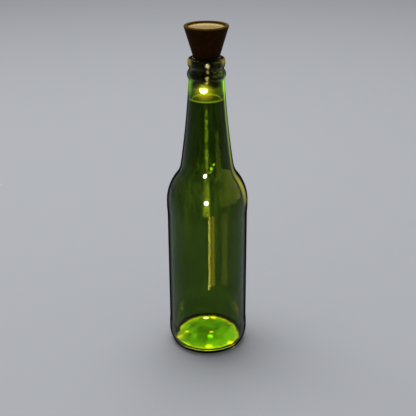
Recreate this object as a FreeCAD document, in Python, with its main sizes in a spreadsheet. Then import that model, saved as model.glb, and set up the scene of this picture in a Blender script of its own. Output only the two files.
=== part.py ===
"""Cork bottle light: a cork-shaped solar lamp stopper in the mouth of a green glass long-neck bottle.

The bottle stands on z = 0 with its axis on Z. The stopper's tapered shell rests on the bottle's lip, and
its ribbed plug reaches down the neck, with a lamp and a slide switch in its lower end. Under the round
solar panel in the top are the circuit board, the rechargeable cell and the wiring. Sizes are millimetres.
"""

import FreeCAD, Part
import Sketcher
import math
import os
import re

from FreeCAD import Rotation, Vector

# Driving sizes.
SIZES = {
    # bottle body
    "bottle_height": 228.5,
    "body_radius": 30.5,
    "glass_wall": 2.5,
    "heel_height": 11.0,
    "heel_inset": 3.6,
    "bearing_width": 2.3,
    "push_up": 3.2,
    "floor_thickness": 4.6,
    "floor_edge_height": 5.6,
    "inner_heel_height": 13.0,
    "inner_heel_inset": 5.5,
    "panel_recess": 0.35,
    "panel_slope": 3.0,
    "panel_margin": 5.5,
    # bottle shoulder and neck
    "shoulder_height": 24.0,
    "neck_foot_radius": 20.4,
    "neck_length": 69.9,
    "neck_hollow": 0.87,
    "neck_wall": 3.0,
    # bottle finish
    "finish_wall": 4.35,
    "bead_height": 6.5,
    "bead_proud": 1.3,
    "groove_height": 1.5,
    "groove_depth": 0.4,
    "lip_slope": 1.5,
    "lip_height": 5.6,
    "lip_proud": 0.55,
    "lip_round": 2.4,
    "mouth_round": 1.6,
    "throat_depth": 13.0,
    "flare_height": 7.0,
    # stopper shell
    "stopper_rise": 22.8,
    "foot_overhang": 0.75,
    "rim_radius": 15.9,
    "rim_round": 0.7,
    "rim_chamfer": 0.3,
    "rim_width": 2.6,
    "shell_wall": 2.0,
    "floor_wall": 2.0,
    "boss_radius": 1.45,
    "boss_count": 3,
    # solar panel
    "panel_gap": 0.1,
    "recess_depth": 1.1,
    "window_thickness": 1.5,
    "window_bevel": 0.3,
    "window_border": 0.7,
    "cell_thickness": 0.3,
    "cell_inset": 0.1,
    "cell_gap": 0.5,
    "cell_count": 4,
    "backing_thickness": 1.0,
    "gasket_thickness": 0.6,
    "gasket_width": 0.6,
    # circuit board
    "board_drop": 3.8,
    "board_thickness": 1.0,
    "board_gap": 0.3,
    "screw_inset": 2.0,
    "screw_radius": 0.55,
    "screw_length": 4.6,
    "screw_play": 0.1,
    "head_radius": 1.2,
    "head_height": 0.9,
    "head_slot": 0.4,
    "chip_width": 4.0,
    "chip_depth": 3.4,
    "chip_height": 1.6,
    "chip_offset": 4.5,
    "chip_pins": 4,
    "pin_width": 0.5,
    "pin_thickness": 0.3,
    "pin_spread": 0.9,
    "coil_radius": 1.5,
    "coil_length": 5.0,
    "coil_drop": 1.2,
    "coil_offset": 4.5,
    "coil_taper": 0.5,
    "capacitor_radius": 2.0,
    "capacitor_height": 4.5,
    "capacitor_offset": 5.2,
    "capacitor_round": 0.3,
    # plug
    "plug_depth": 19.7,
    "battery_radius": 5.0,
    "battery_length": 13.6,
    "battery_shoulder": 0.5,
    "battery_nub_radius": 1.8,
    "battery_nub_height": 0.7,
    "wire_space": 0.8,
    "shaft_wall": 1.0,
    "flange_thickness": 1.2,
    "web_height": 4.7,
    "web_thickness": 1.0,
    "web_width": 1.6,
    "plug_fit": 0.05,
    "tab_width": 3.0,
    "tab_thickness": 0.3,
    # seal sleeve
    "sleeve_wall": 0.6,
    "rib_proud": 0.9,
    "rib_height": 2.0,
    "rib_tip": 0.9,
    "rib_pitch": 4.35,
    "rib_count": 4,
    "sleeve_gap": 0.15,
    "sleeve_end_gap": 0.2,
    "collar_height": 2.0,
    # end cap
    "cap_thickness": 1.0,
    "cap_inset": 0.25,
    "cap_round": 0.3,
    "spigot_height": 1.4,
    "spigot_gap": 0.08,
    "switch_margin": 0.35,
    # lamp
    "lamp_offset": 2.2,
    "lamp_radius": 2.5,
    "lamp_rim": 0.4,
    "lamp_rim_height": 1.0,
    "lamp_length": 8.6,
    "lamp_play": 0.05,
    "lead_width": 0.5,
    "lead_spread": 1.27,
    "lead_length": 1.8,
    "lead_depth": 3.4,
    "cup_width": 1.4,
    "cup_height": 1.1,
    "phosphor_radius": 0.55,
    # slide switch
    "switch_width": 2.6,
    "switch_length": 5.2,
    "switch_height": 2.3,
    "switch_wall": 0.4,
    "switch_play": 0.1,
    "switch_travel": 1.5,
    "slider_height": 1.0,
    "nub_width": 1.1,
    "nub_length": 1.2,
    "nub_proud": 1.1,
    "pin_length": 1.9,
    "pin_pitch": 1.6,
    # wiring
    "wire_radius": 0.35,
    "wire_bend": 1.4,
    "panel_wire_place": 5.0,
    "wire_pad_place": 7.2,
    "notch_play": 0.25,
    "wire_entry_height": 3.4,
    "wire_drop": 3.4,
    # all cuts
    "overrun": 1.0,
}

# Places and sizes that follow from the driving ones. A later line may use an earlier one.
PLACES = {
    # the plug, from its cell outwards to the bottle's bore
    "shaft_bore": "battery_radius + wire_space",
    "shaft_radius": "shaft_bore + shaft_wall",
    "sleeve_bore": "shaft_radius + plug_fit",
    "sleeve_radius": "sleeve_bore + sleeve_wall",
    "rib_radius": "sleeve_radius + rib_proud",
    "bore_radius": "rib_radius + sleeve_gap",
    # the bottle, from its lip down
    "neck_top_radius": "bore_radius + finish_wall",
    "lip_radius": "neck_top_radius + lip_proud",
    "groove_radius": "neck_top_radius - groove_depth",
    "lip_base": "bottle_height - lip_height",
    "groove_top": "lip_base - lip_slope",
    "bead_top": "groove_top - groove_height",
    "neck_top": "bead_top - bead_height",
    "neck_step": "neck_foot_radius - neck_top_radius",
    "neck_chord": "sqrt(neck_step^2 + neck_length^2)",
    "neck_sweep": "((neck_chord / 2)^2 + neck_hollow^2) / (2 * neck_hollow)",
    "neck_foot": "neck_top - neck_length",
    "shoulder_base": "neck_foot - shoulder_height",
    "throat_base": "bottle_height - throat_depth",
    "flare_base": "throat_base - flare_height",
    "flare_radius": "neck_top_radius - neck_wall",
    "bead_round": "((bead_height / 2)^2 + bead_proud^2) / (2 * bead_proud)",
    "inner_radius": "body_radius - glass_wall",
    "inner_neck_foot": "neck_foot_radius - neck_wall",
    "shoulder_step": "body_radius - neck_foot_radius",
    "shoulder_round": "(shoulder_step^2 + shoulder_height^2) / (2 * shoulder_step)",
    "inner_step": "inner_radius - inner_neck_foot",
    "inner_shoulder_round": "(inner_step^2 + shoulder_height^2) / (2 * inner_step)",
    "bearing_outer": "body_radius - heel_inset",
    "bearing_inner": "bearing_outer - bearing_width",
    "heel_round": "(heel_inset^2 + heel_height^2) / (2 * heel_inset)",
    "push_round": "(bearing_inner^2 + push_up^2) / (2 * push_up)",
    "floor_height": "push_up + floor_thickness",
    "floor_edge_radius": "inner_radius - inner_heel_inset",
    "floor_drop": "floor_height - floor_edge_height",
    "floor_round": "(floor_edge_radius^2 + floor_drop^2) / (2 * floor_drop)",
    "inner_heel_rise": "inner_heel_height - floor_edge_height",
    "inner_heel_round": "(inner_heel_inset^2 + inner_heel_rise^2) / (2 * inner_heel_inset)",
    "panel_low": "heel_height + panel_margin",
    "panel_high": "shoulder_base - panel_margin",
    "panel_face": "body_radius - panel_recess",
    # the shell and what its top holds
    "foot_radius": "bore_radius + foot_overhang",
    "rim_top": "bottle_height + stopper_rise",
    "cone_slope": "(rim_radius - foot_radius) / (stopper_rise - rim_round)",
    "floor_top": "bottle_height + floor_wall",
    "floor_radius": "foot_radius + cone_slope * floor_wall - shell_wall",
    "panel_radius": "rim_radius - rim_width",
    "seat_radius": "panel_radius + panel_gap",
    "window_top": "rim_top - recess_depth",
    "cell_top": "window_top - window_thickness",
    "backing_top": "cell_top - cell_thickness",
    "backing_base": "backing_top - backing_thickness",
    "stack_seat": "backing_base - gasket_thickness",
    "cavity_radius": "foot_radius + cone_slope * (stack_seat - bottle_height) - shell_wall",
    "cell_field": "panel_radius - window_border - cell_inset",
    "cell_pitch": "(2 * cell_field + cell_gap) / cell_count",
    "board_base": "stack_seat - board_drop",
    "board_top": "board_base + board_thickness",
    "board_radius": "foot_radius + cone_slope * (board_base - bottle_height) - shell_wall - board_gap",
    "screw_ring": "board_radius - screw_inset",
    # the plug's heights
    "shaft_end": "bottle_height - plug_depth",
    "flange_radius": "floor_radius - board_gap / 2",
    "flange_top": "floor_top + flange_thickness",
    "web_base": "shaft_end + web_height",
    "web_top": "web_base + web_thickness",
    "web_bore": "shaft_bore - web_width",
    "battery_top": "web_top + battery_length",
    "lowest_rib": "shaft_end + rib_height",
    "sleeve_top": "bottle_height - sleeve_end_gap",
    # the end cap, with the lamp on one side and the switch on the other
    "cap_base": "shaft_end - cap_thickness",
    "cap_radius": "rib_radius - cap_inset",
    "spigot_radius": "shaft_bore - spigot_gap",
    "spigot_top": "shaft_end + spigot_height",
    "lamp_rim_radius": "lamp_radius + lamp_rim",
    "lamp_place": "-lamp_offset",
    "lamp_back": "spigot_top + lamp_rim_height",
    "lamp_tip": "lamp_back - lamp_length",
    "lamp_dome": "lamp_tip + lamp_radius",
    "cup_top": "lamp_back - lead_depth",
    "cup_base": "cup_top - cup_height",
    "lead_top": "lamp_back + lead_length",
    "switch_place": "sqrt(spigot_radius^2 - (switch_length / 2)^2) - switch_width / 2 - switch_margin",
    "switch_top": "shaft_end + switch_height",
    "switch_room": "switch_height - switch_wall",
    "slider_base": "shaft_end + switch_play",
    "slider_width": "switch_width - 2 * switch_wall - 2 * switch_play",
    "slider_length": "switch_length - 2 * switch_wall - 2 * switch_play - switch_travel",
    "slider_back": "switch_length / 2 - switch_wall - switch_play",
    "nub_back": "(nub_length + switch_travel) / 2",
    "nub_tip": "cap_base - nub_proud",
    # where the wires meet the lamp's legs and the switch's outer pin, as a reach and an angle about Z
    "lead_reach": "sqrt(lamp_place^2 + lead_spread^2)",
    "lead_azimuth": "atan2(lead_spread; lamp_place)",
    "pin_reach": "sqrt(switch_place^2 + pin_pitch^2)",
    "pin_azimuth": "-atan2(pin_pitch; switch_place)",
    "wire_ring": "battery_radius + wire_space / 2",
    "wire_entry": "flange_top + wire_entry_height",
}

# The share of the shorter run beside it that a wire's bend may take.
BEND_SHARE = 0.45

doc = FreeCAD.newDocument("cork_bottle_light")
sizes = doc.addObject("Spreadsheet::Sheet", "sizes")
places = doc.addObject("Spreadsheet::Sheet", "places")
owner = {}
subparts = []


def bound(text, own=""):
    """The expression with each word named with its sheet, except the words of the sheet called own."""

    def with_sheet(match):
        word = match.group(0)
        if owner.get(word, own) == own:
            return word
        return owner[word] + "." + word

    return re.sub(r"[a-z][a-z0-9_]*", with_sheet, text)


def fill_sheets():
    """Writes the driving sizes as plain numbers and the places as formulas."""
    for row, (word, size) in enumerate(SIZES.items(), 1):
        sizes.set("A%d" % row, word.replace("_", " "))
        sizes.set("B%d" % row, str(size))
        sizes.setAlias("B%d" % row, word)
        owner[word] = "sizes"
    doc.recompute()
    for row, (word, text) in enumerate(PLACES.items(), 1):
        places.set("A%d" % row, word.replace("_", " "))
        places.set("B%d" % row, "=" + bound(text, "places"))
        places.setAlias("B%d" % row, word)
        owner[word] = "places"
    doc.recompute()


def worth(text):
    """The number that an expression in sizes and places comes to."""
    return float(sizes.evalExpression(bound(text)))


def arc_between(start, end, radius, turn):
    """The short arc from start to end. It turns left for turn 1 and right for turn -1."""
    chord = end - start
    half = chord.Length / 2
    left = Vector(-chord.y, chord.x, 0).normalize()
    centre = (start + end) / 2 + left * turn * math.sqrt(radius**2 - half**2)
    first, last = (start, end) if turn > 0 else (end, start)
    first_angle = math.atan2(first.y - centre.y, first.x - centre.x)
    last_angle = math.atan2(last.y - centre.y, last.x - centre.x)
    if last_angle < first_angle:
        last_angle += 2 * math.pi
    circle = Part.Circle(centre, Vector(0, 0, 1), radius)
    return Part.ArcOfCircle(circle, first_angle, last_angle)


def draw(sketch, points):
    """Draws a closed outline of (across, up) points, with (across, up, radius, turn) where an arc leaves."""
    spots = [Vector(worth(point[0]), worth(point[1]), 0) for point in points]
    count = len(points)
    ends = []
    for i, point in enumerate(points):
        start, end = spots[i], spots[(i + 1) % count]
        if len(point) == 2:
            edge = sketch.addGeometry(Part.LineSegment(start, end), False)
            ends.append((edge, 1, 2))
            continue
        radius, turn = point[2:]
        edge = sketch.addGeometry(arc_between(start, end, worth(radius), turn), False)
        ends.append((edge, 1, 2) if turn > 0 else (edge, 2, 1))
        index = sketch.addConstraint(Sketcher.Constraint("Radius", edge, worth(radius)))
        sketch.setExpression("Constraints[%d]" % index, bound(radius))
    for i, point in enumerate(points):
        edge, start_end, _ = ends[i]
        before, _, finish_end = ends[i - 1]
        sketch.addConstraint(Sketcher.Constraint("Coincident", before, finish_end, edge, start_end))
        for kind, text, axis in (("DistanceX", point[0], -2), ("DistanceY", point[1], -1)):
            if worth(text) == 0:
                sketch.addConstraint(Sketcher.Constraint("PointOnObject", edge, start_end, axis))
                continue
            fixed = Sketcher.Constraint(kind, -1, 1, edge, start_end, worth(text))
            index = sketch.addConstraint(fixed)
            sketch.setExpression("Constraints[%d]" % index, bound(text))


def sketch_on(body, role, name, points):
    """A sketch with a closed outline on one of the body's own origin planes."""
    sketch = body.newObject("Sketcher::SketchObject", name)
    plane = [feature for feature in body.Origin.OriginFeatures if feature.Role == role][0]
    sketch.AttachmentSupport = [(plane, "")]
    sketch.MapMode = "FlatFace"
    draw(sketch, points)
    return sketch


def turned_body(name, points):
    """A body turned about Z from an outline of (radius, height) points."""
    body = doc.addObject("PartDesign::Body", name)
    turned_on(body, name, points)
    return body


def turned_on(body, name, points):
    """Adds one turned feature to a body."""
    sketch = sketch_on(body, "XZ_Plane", name + "_profile", points)
    feature = body.newObject("PartDesign::Revolution", name + "_turned")
    feature.Profile = sketch
    feature.ReferenceAxis = (sketch, ["V_Axis"])
    feature.Angle = 360.0
    sketch.Visibility = False
    return feature


def put(piece, across="0", along="0", up="0"):
    """Places a piece by expressions."""
    for axis, text in zip("xyz", (across, along, up)):
        piece.setExpression(".Placement.Base." + axis, bound(text))
    return piece


def cylinder(name, radius, height, across="0", along="0", up="0"):
    piece = doc.addObject("Part::Cylinder", name)
    piece.setExpression("Radius", bound(radius))
    piece.setExpression("Height", bound(height))
    return put(piece, across, along, up)


def block(name, width, depth, height, across="0", along="0", up="0"):
    """A box centred on across and along, that stands on up."""
    piece = doc.addObject("Part::Box", name)
    piece.setExpression("Length", bound(width))
    piece.setExpression("Width", bound(depth))
    piece.setExpression("Height", bound(height))
    return put(piece, "%s - (%s) / 2" % (across, width), "%s - (%s) / 2" % (along, depth), up)


def joined(name, pieces):
    result = doc.addObject("Part::MultiFuse", name)
    result.Shapes = pieces
    return result


def shared(name, pieces):
    result = doc.addObject("Part::MultiCommon", name)
    result.Shapes = pieces
    return result


def cut(name, base, tools):
    result = doc.addObject("Part::Cut", name)
    result.Base = base
    result.Tool = tools[0] if len(tools) == 1 else joined(name + "_tools", tools)
    return result


def side_by_side(name, pieces):
    """Separate solids that share one node."""
    result = doc.addObject("Part::Compound", name)
    result.Links = pieces
    return result


def subpart(piece, label):
    """Marks a finished piece, which is written to its own file under this label."""
    piece.Label = label
    subparts.append(piece)
    return piece


def screw_places():
    """The across and along expressions of the board's screws, evenly round their ring."""
    count = int(worth("boss_count"))
    for i in range(count):
        angle = 360.0 * i / count
        yield "screw_ring * cos(%.4f)" % angle, "screw_ring * sin(%.4f)" % angle


def bent_path(points, bend):
    """Straight runs joined by tangent arcs of the radius bend, or less where a run is short."""
    edges, last = [], points[0]
    for before, corner, after in zip(points, points[1:], points[2:]):
        to_before, to_after = before - corner, after - corner
        half_turn = (math.pi - to_before.getAngle(to_after)) / 2
        room = BEND_SHARE * min(to_before.Length, to_after.Length)
        back = min(bend * math.tan(half_turn), room)
        radius = back / math.tan(half_turn)
        to_before, to_after = to_before.normalize(), to_after.normalize()
        start, end = corner + to_before * back, corner + to_after * back
        inward = (to_before + to_after).normalize()
        middle = corner + inward * (radius / math.cos(half_turn) - radius)
        edges.append(Part.LineSegment(last, start).toShape())
        edges.append(Part.Arc(start, middle, end).toShape())
        last = end
    edges.append(Part.LineSegment(last, points[-1]).toShape())
    return Part.Wire(edges)


def bent_wire(name, azimuth, route):
    """An insulated wire along (radius, height) places in the half plane at this azimuth."""
    turn = Rotation(Vector(0, 0, 1), worth(azimuth))
    points = [turn.multVec(Vector(worth(out), 0, worth(up))) for out, up in route]
    path = bent_path(points, worth("wire_bend"))
    circle = Part.Circle(points[0], points[1] - points[0], worth("wire_radius"))
    piece = doc.addObject("Part::Feature", name)
    piece.Shape = path.makePipeShell([Part.Wire(circle.toShape())], True, True)
    return piece


def bottle():
    """Long-neck bottle: pushed-up base, recessed label panel, round shoulder, bead and rounded lip."""
    outline = [
        ("0", "push_up", "push_round", -1),
        ("bearing_inner", "0"),
        ("bearing_outer", "0", "heel_round", 1),
        ("body_radius", "heel_height"),
        ("body_radius", "panel_low"),
        ("panel_face", "panel_low + panel_slope"),
        ("panel_face", "panel_high - panel_slope"),
        ("body_radius", "panel_high"),
        ("body_radius", "shoulder_base", "shoulder_round", 1),
        ("neck_foot_radius", "neck_foot", "neck_sweep", -1),
        ("neck_top_radius", "neck_top", "bead_round", 1),
        ("groove_radius", "bead_top"),
        ("groove_radius", "groove_top"),
        ("lip_radius", "lip_base"),
        ("lip_radius", "bottle_height - lip_round", "lip_round", 1),
        ("lip_radius - lip_round", "bottle_height"),
        ("bore_radius + mouth_round", "bottle_height", "mouth_round", 1),
        ("bore_radius", "bottle_height - mouth_round"),
        ("bore_radius", "throat_base"),
        ("flare_radius", "flare_base", "neck_sweep", 1),
        ("inner_neck_foot", "neck_foot", "inner_shoulder_round", -1),
        ("inner_radius", "shoulder_base"),
        ("inner_radius", "inner_heel_height", "inner_heel_round", -1),
        ("floor_edge_radius", "floor_edge_height", "floor_round", 1),
        ("0", "floor_height"),
    ]
    return subpart(turned_body("bottle", outline), "bottle")


def stopper_shell():
    """Tapered casing, open at the top, with a panel seat and screw bosses that grow out of its wall."""
    outline = [
        ("shaft_radius + plug_fit", "bottle_height"),
        ("foot_radius", "bottle_height"),
        ("rim_radius", "rim_top - rim_round", "rim_round", 1),
        ("rim_radius - rim_round", "rim_top"),
        ("seat_radius + rim_chamfer", "rim_top"),
        ("seat_radius", "rim_top - rim_chamfer"),
        ("seat_radius", "stack_seat"),
        ("cavity_radius", "stack_seat"),
        ("floor_radius", "floor_top"),
        ("shaft_radius + plug_fit", "floor_top"),
    ]
    cup = turned_body("shell_cup", outline)
    taper = doc.addObject("Part::Cone", "shell_taper")
    taper.setExpression("Radius1", bound("foot_radius"))
    taper.setExpression("Radius2", bound("rim_radius"))
    taper.setExpression("Height", bound("stopper_rise - rim_round"))
    put(taper, up="bottle_height")
    rise = "board_base - floor_top"
    hole = "screw_radius + screw_play / 2"
    depth = "screw_length + screw_play"
    bottom = "board_top - screw_length - screw_play"
    posts, pilots = [], []
    for i, (across, along) in enumerate(screw_places(), 1):
        posts.append(cylinder("boss_%d" % i, "boss_radius", rise, across, along, "floor_top"))
        pilots.append(cylinder("pilot_%d" % i, hole, depth, across, along, bottom))
    bosses = shared("shell_bosses", [joined("shell_posts", posts), taper])
    return subpart(cut("shell_drilled", joined("shell_solid", [cup, bosses]), pilots), "stopper_shell")


def solar_window():
    """Clear potting over the cells, with a bevelled edge and a border that reaches the backing board."""
    outline = [
        ("0", "cell_top"),
        ("panel_radius - window_border", "cell_top"),
        ("panel_radius - window_border", "backing_top"),
        ("panel_radius", "backing_top"),
        ("panel_radius", "window_top - window_bevel"),
        ("panel_radius - window_bevel", "window_top"),
        ("0", "window_top"),
    ]
    return subpart(turned_body("window", outline), "solar_window")


def solar_cells():
    """Parallel strips of silicon that fill the round field, each a separate solid."""
    strips = []
    count = int(worth("cell_count"))
    for i in range(count):
        along = "cell_pitch * %.1f" % (i - (count - 1) / 2)
        strip = block("strip_%d" % (i + 1), "2 * cell_field", "cell_pitch - cell_gap", "cell_thickness",
                      along=along, up="backing_top")
        field = cylinder("field_%d" % (i + 1), "cell_field", "cell_thickness", up="backing_top")
        strips.append(shared("cell_%d" % (i + 1), [strip, field]))
    return subpart(side_by_side("cells", strips), "solar_cells")


def solar_backing():
    """Round board that the cells are laid on."""
    disc = cylinder("backing", "panel_radius", "backing_thickness", up="backing_base")
    return subpart(disc, "solar_backing")


def panel_gasket():
    """Foam ring between the panel and its seat in the shell."""
    outline = [
        ("panel_radius - gasket_width", "stack_seat"),
        ("panel_radius", "stack_seat"),
        ("panel_radius", "backing_base"),
        ("panel_radius - gasket_width", "backing_base"),
    ]
    return subpart(turned_body("gasket", outline), "panel_gasket")


def circuit_board():
    """Round board on the shell's bosses, drilled for its screws."""
    disc = cylinder("board_disc", "board_radius", "board_thickness", up="board_base")
    hole = "screw_radius + screw_play"
    through = "board_thickness + 2 * overrun"
    holes = []
    for i, (across, along) in enumerate(screw_places(), 1):
        holes.append(cylinder("board_hole_%d" % i, hole, through, across, along, "board_base - overrun"))
    return subpart(cut("board", disc, holes), "circuit_board")


def board_screws():
    """Slotted pan-head screws through the board into the bosses."""
    tip = "board_top - screw_length"
    reach = "2 * head_radius + overrun"
    middle = "board_top + head_height / 2"
    screws = []
    for i, (across, along) in enumerate(screw_places(), 1):
        shank = cylinder("shank_%d" % i, "screw_radius", "screw_length", across, along, tip)
        head = cylinder("head_%d" % i, "head_radius", "head_height", across, along, "board_top")
        slot = block("slot_%d" % i, reach, "head_slot", "head_height", across, along, middle)
        screws.append(cut("screw_%d" % i, joined("screw_blank_%d" % i, [shank, head]), [slot]))
    return subpart(side_by_side("screws", screws), "board_screws")


def controller_chip():
    """Small charge controller under the board, on a row of pins."""
    place = ("chip_offset", "0")
    package = block("chip_package", "chip_depth", "chip_width", "chip_height", *place,
                    "board_base - pin_spread - chip_height")
    count = int(worth("chip_pins"))
    pins = []
    for i in range(count):
        along = "%.1f * chip_width / chip_pins" % (i - (count - 1) / 2)
        pins.append(block("chip_pin_%d" % (i + 1), "pin_thickness", "pin_width", "pin_spread",
                          "chip_offset", along, "board_base - pin_spread"))
    return subpart(joined("chip", [package] + pins), "controller_chip")


def inductor():
    """Axial coil that hangs under the board on its two leads."""
    outline = [
        ("0", "0"),
        ("coil_radius - coil_taper", "0"),
        ("coil_radius", "coil_taper"),
        ("coil_radius", "coil_length - coil_taper"),
        ("coil_radius - coil_taper", "coil_length"),
        ("0", "coil_length"),
    ]
    body = turned_body("coil_body", outline)
    body.Placement.Rotation = Rotation(Vector(1, 0, 0), 90)
    put(body, "-coil_offset", "coil_length / 2", "board_base - coil_drop - coil_radius")
    leads = []
    for i, side in enumerate((-1, 1), 1):
        along = "%d * (coil_length / 2 - coil_taper)" % side
        leads.append(block("coil_lead_%d" % i, "pin_width", "pin_width", "coil_drop + coil_taper",
                           "-coil_offset", along, "board_base - coil_drop - coil_taper"))
    return subpart(joined("coil", [body] + leads), "inductor")


def capacitor():
    """Small electrolytic can, upside down under the board."""
    outline = [
        ("0", "board_base - capacitor_height"),
        ("capacitor_radius - capacitor_round", "board_base - capacitor_height"),
        ("capacitor_radius", "board_base - capacitor_height + capacitor_round"),
        ("capacitor_radius", "board_base"),
        ("0", "board_base"),
    ]
    can = turned_body("capacitor_can", outline)
    put(can, "0", "-capacitor_offset")
    return subpart(can, "capacitor")


def plug_shaft():
    """Hollow spigot through the shell's floor: a flange above, and a web that the cell stands on below."""
    outline = [
        ("shaft_bore", "shaft_end"),
        ("shaft_radius", "shaft_end"),
        ("shaft_radius", "floor_top"),
        ("flange_radius", "floor_top"),
        ("flange_radius", "flange_top"),
        ("shaft_bore", "flange_top"),
        ("shaft_bore", "web_top"),
        ("web_bore", "web_top"),
        ("web_bore", "web_base"),
        ("shaft_bore", "web_base"),
    ]
    tube = turned_body("shaft_tube", outline)
    through = "web_thickness + 2 * overrun"
    start = "web_base - overrun"
    notches = []
    for i, azimuth in enumerate(("lead_azimuth", "-lead_azimuth", "pin_azimuth"), 1):
        across = "wire_ring * cos(%s)" % azimuth
        along = "wire_ring * sin(%s)" % azimuth
        notch = cylinder("notch_%d" % i, "wire_radius + notch_play", through, across, along, start)
        notches.append(notch)
    bore = cylinder("wire_room", "shaft_bore", through, up=start)
    wire_ways = shared("wire_ways", [joined("notches", notches), bore])
    return subpart(cut("shaft", tube, [wire_ways]), "plug_shaft")


def seal_sleeve():
    """Soft sleeve on the plug: a collar in the bottle's mouth and a row of tapered ribs below it."""
    body = turned_body("sleeve", [
        ("sleeve_bore", "shaft_end"),
        ("sleeve_radius", "shaft_end"),
        ("sleeve_radius", "sleeve_top - collar_height - rib_proud"),
        ("rib_radius", "sleeve_top - collar_height"),
        ("rib_radius", "sleeve_top"),
        ("sleeve_bore", "sleeve_top"),
    ])
    rib = turned_on(body, "rib", [
        ("sleeve_bore", "lowest_rib - rib_height / 2"),
        ("sleeve_radius", "lowest_rib - rib_height / 2"),
        ("rib_radius", "lowest_rib - rib_tip / 2"),
        ("rib_radius", "lowest_rib + rib_tip / 2"),
        ("sleeve_radius", "lowest_rib + rib_height / 2"),
        ("sleeve_bore", "lowest_rib + rib_height / 2"),
    ])
    row = body.newObject("PartDesign::LinearPattern", "rib_row")
    row.Originals = [rib]
    row.Direction = (rib.Profile[0], ["V_Axis"])
    row.setExpression("Length", bound("rib_pitch * (rib_count - 1)"))
    row.setExpression("Occurrences", bound("rib_count"))
    body.Tip = row
    return subpart(body, "seal_sleeve")


def end_cap():
    """Cap on the plug's lower end, with a round hole for the lamp and a slot for the switch's nub."""
    outline = [
        ("0", "cap_base"),
        ("cap_radius - cap_round", "cap_base"),
        ("cap_radius", "cap_base + cap_round"),
        ("cap_radius", "shaft_end"),
        ("spigot_radius", "shaft_end"),
        ("spigot_radius", "spigot_top"),
        ("0", "spigot_top"),
    ]
    disc = turned_body("cap_disc", outline)
    through = "cap_thickness + spigot_height + 2 * overrun"
    start = "cap_base - overrun"
    lamp_hole = cylinder("lamp_hole", "lamp_radius + lamp_play", through, "lamp_place", "0", start)
    pocket = block("switch_pocket", "switch_width + switch_play", "switch_length + switch_play",
                   "spigot_height + overrun", "switch_place", "0", "shaft_end")
    slot = block("nub_slot", "nub_width + 2 * switch_play",
                 "nub_length + switch_travel + 2 * switch_play", through, "switch_place", "0", start)
    return subpart(cut("cap", disc, [lamp_hole, pocket, slot]), "end_cap")


def lamp_leads():
    """Two square legs let into the lamp's resin, one of them with the cup that carries the die."""
    square = ("lead_width", "lead_width")
    rise = "lead_top - cup_top"
    near_leg = block("near_leg", *square, rise, "lamp_place", "-lead_spread", "cup_top")
    far_leg = block("far_leg", *square, rise, "lamp_place", "lead_spread", "cup_top")
    arm = block("cup_arm", "lead_width", "lead_spread + lead_width", "lead_width",
                "lamp_place", "-lead_spread / 2", "cup_top")
    cup = block("cup", "cup_width", "cup_width", "cup_height", "lamp_place", "0", "cup_base")
    return [joined("cup_leg", [near_leg, arm, cup]), far_leg]


def lamp_phosphor():
    """Rounded dab of phosphor on the cup's face, which points down."""
    dab = doc.addObject("Part::Sphere", "phosphor_ball")
    dab.setExpression("Radius", bound("phosphor_radius"))
    put(dab, "lamp_place", "0", "cup_base")
    lower = cylinder("phosphor_half", "phosphor_radius + overrun", "phosphor_radius + overrun",
                     "lamp_place", "0", "cup_base - phosphor_radius - overrun")
    return shared("phosphor", [dab, lower])


def lamp():
    """Round-nosed lamp that points down: clear resin, its two leads, and the phosphor on the cup."""
    outline = [
        ("0", "lamp_tip", "lamp_radius", 1),
        ("lamp_radius", "lamp_dome"),
        ("lamp_radius", "spigot_top"),
        ("lamp_rim_radius", "spigot_top"),
        ("lamp_rim_radius", "lamp_back"),
        ("0", "lamp_back"),
    ]
    resin = turned_body("resin", outline)
    put(resin, "lamp_place")
    leads, phosphor = lamp_leads(), lamp_phosphor()
    subpart(side_by_side("lamp_legs", leads), "lamp_leads")
    subpart(phosphor, "lamp_phosphor")
    subpart(cut("lamp_resin", resin, leads + [phosphor]), "lamp_lens")


def slide_switch():
    """Small slide switch: a can open below, its pins, and the slider, whose nub passes the end cap."""
    middle = ("switch_place", "0")
    can = block("switch_can", "switch_width", "switch_length", "switch_height", *middle, "shaft_end")
    room = block("switch_inside", "switch_width - 2 * switch_wall", "switch_length - 2 * switch_wall",
                 "switch_room + overrun", *middle, "shaft_end - overrun")
    subpart(cut("switch_shell", can, [room]), "switch_housing")

    pins = []
    for i in (-1, 0, 1):
        along = "%d * pin_pitch" % i
        pins.append(block("switch_pin_%d" % (i + 2), "pin_thickness", "pin_width", "pin_length",
                          "switch_place", along, "switch_top"))
    subpart(side_by_side("switch_pins", pins), "switch_terminals")

    plate = block("slider_plate", "slider_width", "slider_length", "slider_height",
                  "switch_place", "slider_length / 2 - slider_back", "slider_base")
    nub = block("slider_nub", "nub_width", "nub_length", "slider_base - nub_tip",
                "switch_place", "nub_length / 2 - nub_back", "nub_tip")
    subpart(joined("slider", [plate, nub]), "switch_slider")


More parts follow.
